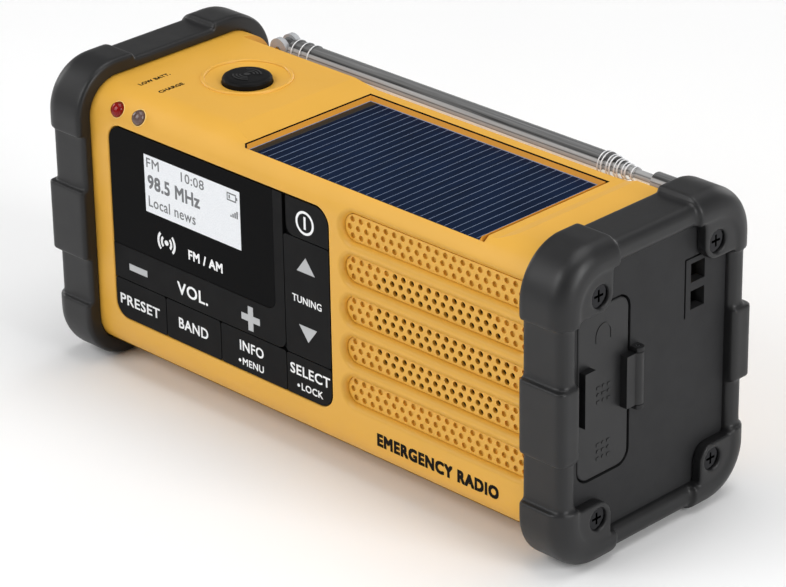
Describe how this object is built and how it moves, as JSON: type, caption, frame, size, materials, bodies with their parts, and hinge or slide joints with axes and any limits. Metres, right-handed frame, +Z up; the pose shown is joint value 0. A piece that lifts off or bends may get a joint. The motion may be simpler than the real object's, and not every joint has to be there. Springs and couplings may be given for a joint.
{
  "type": "portable radio",
  "caption": "Rugged portable emergency radio with rubber bumpers, solar cell, folding crank and antenna, display, keys, loudspeaker, torch and covered sockets.",
  "frame": {"origin": "on the surface it stands on, under the middle of its footprint", "axes": "+X to the right seen from the front, +Y to the back, +Z up"},
  "size_m": [0.2, 0.075, 0.0917],
  "materials": {
    "case_yellow": "satin moulded ABS, fine spark-eroded grain",
    "rubber_black": "soft-touch moulded rubber",
    "plate_black": "fine-grained moulded ABS",
    "key_black": "satin moulded plastic with printed legends",
    "window_black": "polished acrylic",
    "display_white": "backlit display glass",
    "solar_blue": "silicon under a clear face",
    "antenna_chrome": "plated brass tube",
    "screw_dark": "blackened steel",
    "pin_steel": "ground steel",
    "lamp_red": "tinted clear plastic",
    "lamp_clear": "clear plastic",
    "lens_clear": "clear polycarbonate",
    "reflector_silver": "vacuum-plated plastic",
    "board_green": "glass-fibre circuit board",
    "board_parts": "moulded components",
    "gear_white": "natural acetal",
    "cone_paper": "coated paper cone",
    "magnet_steel": "zinc-plated steel",
    "cell_wrap": "heat-shrunk sleeve",
    "contact_brass": "plated spring metal",
    "socket_steel": "stamped shells",
    "crank_grey": "glass-filled nylon"
  },
  "bodies": {
    "case": {"battery_cell": "cell_wrap", "battery_contacts": "contact_brass", "battery_holder": "plate_black", "bumper_left": "rubber_black", "bumper_right": "rubber_black", "cap_screws_left": "screw_dark", "cap_screws_right": "screw_dark", "charge_led": "lamp_clear", "control_bezel": "plate_black", "display_window": "window_black", "end_plate_left": "plate_black", "end_plate_right": "plate_black", "front_shell": "case_yellow", "gearbox_plate": "pin_steel", "generator": "magnet_steel", "headphone_jack": "board_parts", "key_board": "board_green", "lcd_module": "display_white", "low_battery_led": "lamp_red", "main_board": "board_green", "port_board": "board_green", "port_hinge_pin": "pin_steel", "rear_screws": "screw_dark", "rear_shell": "case_yellow", "solar_panel": "solar_blue", "speaker_cone": "cone_paper", "speaker_frame": "magnet_steel", "speaker_grille": "case_yellow", "speaker_magnet": "magnet_steel", "tact_switches": "board_parts", "torch_led_board": "board_green", "torch_lens": "lens_clear", "torch_reflector": "reflector_silver", "usb_sockets": "socket_steel"},
    "antenna_swivel_fork": {"antenna_fork": "antenna_chrome", "antenna_pin": "pin_steel"},
    "antenna_mast": {"antenna_section_1": "antenna_chrome", "antenna_section_2": "antenna_chrome", "antenna_section_3": "antenna_chrome", "antenna_section_4": "antenna_chrome", "antenna_section_5": "antenna_chrome", "antenna_tip": "antenna_chrome"},
    "crank_spindle": {"crank_hub": "crank_grey", "crank_hinge_pin": "pin_steel", "crank_gear": "gear_white"},
    "crank_handle": {"crank_arm": "crank_grey", "knob_pin": "pin_steel"},
    "crank_grip": {"crank_knob": "crank_grey"},
    "idler": {"idler_gear": "gear_white"},
    "generator_rotor": {"generator_pinion": "pin_steel"},
    "socket_cover": {"port_cover": "rubber_black"},
    "rear_door": {"battery_door": "case_yellow"},
    "power_button": {"power_key": "key_black"},
    "preset_button": {"preset_key": "key_black"},
    "band_button": {"band_key": "key_black"},
    "info_button": {"info_key": "key_black"},
    "select_button": {"select_key": "key_black"},
    "volume_rocker": {"vol_rocker": "key_black"},
    "tune_rocker": {"tuning_rocker": "key_black"},
    "top_button": {"siren_button": "key_black"}
  },
  "joints": [
    {"name": "antenna_swivel", "type": "hinge", "parent": "case", "child": "antenna_swivel_fork", "pos_m": [-0.0695, 0.0295, 0.0844], "axis": [0, 0, 1], "range_deg": [0, 90]},
    {"name": "antenna_tilt", "type": "hinge", "parent": "antenna_swivel_fork", "child": "antenna_mast", "pos_m": [-0.0695, 0.0295, 0.0844], "axis": [0, -1, 0], "range_deg": [0, 90]},
    {"name": "crank_spin", "type": "hinge", "parent": "case", "child": "crank_spindle", "pos_m": [0.022, 0.02, 0.04585], "axis": [0, 1, 0], "continuous": true},
    {"name": "crank_fold", "type": "hinge", "parent": "crank_spindle", "child": "crank_handle", "pos_m": [0.0285, 0.03285, 0.04585], "axis": [0, 0, -1], "range_deg": [0, 180]},
    {"name": "knob_spin", "type": "hinge", "parent": "crank_handle", "child": "crank_grip", "pos_m": [0.004, 0.022, 0.04585], "axis": [0, 1, 0], "continuous": true},
    {"name": "idler_spin", "type": "hinge", "parent": "case", "child": "idler", "pos_m": [-0.008, 0.008, 0.04585], "axis": [0, 1, 0], "continuous": true},
    {"name": "generator_spin", "type": "hinge", "parent": "case", "child": "generator_rotor", "pos_m": [-0.008, 0.004, 0.02185], "axis": [0, 1, 0], "continuous": true},
    {"name": "port_cover_open", "type": "hinge", "parent": "case", "child": "socket_cover", "pos_m": [0.0976, -0.0062, 0.049], "axis": [0, 0, 1], "range_deg": [0, 110]},
    {"name": "battery_door_lift", "type": "slide", "parent": "case", "child": "rear_door", "axis": [0, 1, 0], "range_m": [0, 0.015]},
    {"name": "power_press", "type": "slide", "parent": "case", "child": "power_button", "axis": [0, 1, 0], "range_m": [0, 0.0006], "stiffness_N_per_m": 800},
    {"name": "preset_press", "type": "slide", "parent": "case", "child": "preset_button", "axis": [0, 1, 0], "range_m": [0, 0.0006], "stiffness_N_per_m": 800},
    {"name": "band_press", "type": "slide", "parent": "case", "child": "band_button", "axis": [0, 1, 0], "range_m": [0, 0.0006], "stiffness_N_per_m": 800},
    {"name": "info_press", "type": "slide", "parent": "case", "child": "info_button", "axis": [0, 1, 0], "range_m": [0, 0.0006], "stiffness_N_per_m": 800},
    {"name": "select_press", "type": "slide", "parent": "case", "child": "select_button", "axis": [0, 1, 0], "range_m": [0, 0.0006], "stiffness_N_per_m": 800},
    {"name": "volume_rock", "type": "hinge", "parent": "case", "child": "volume_rocker", "pos_m": [-0.04185, -0.0309, 0.03565], "axis": [0, 0, 1], "range_deg": [-0.9, 0.9], "stiffness_Nm_per_rad": 0.8},
    {"name": "tuning_rock", "type": "hinge", "parent": "case", "child": "tune_rocker", "pos_m": [0.00243, -0.0309, 0.04815], "axis": [1, 0, 0], "range_deg": [-1.6, 1.6], "stiffness_Nm_per_rad": 0.5},
    {"name": "siren_press", "type": "slide", "parent": "case", "child": "top_button", "axis": [0, 0, -1], "range_m": [0, 0.0012], "stiffness_N_per_m": 900}
  ],
  "couplings": [
    {"joint": "idler_spin", "follows": "crank_spin", "ratio": -4},
    {"joint": "generator_spin", "follows": "crank_spin", "ratio": 20}
  ]
}
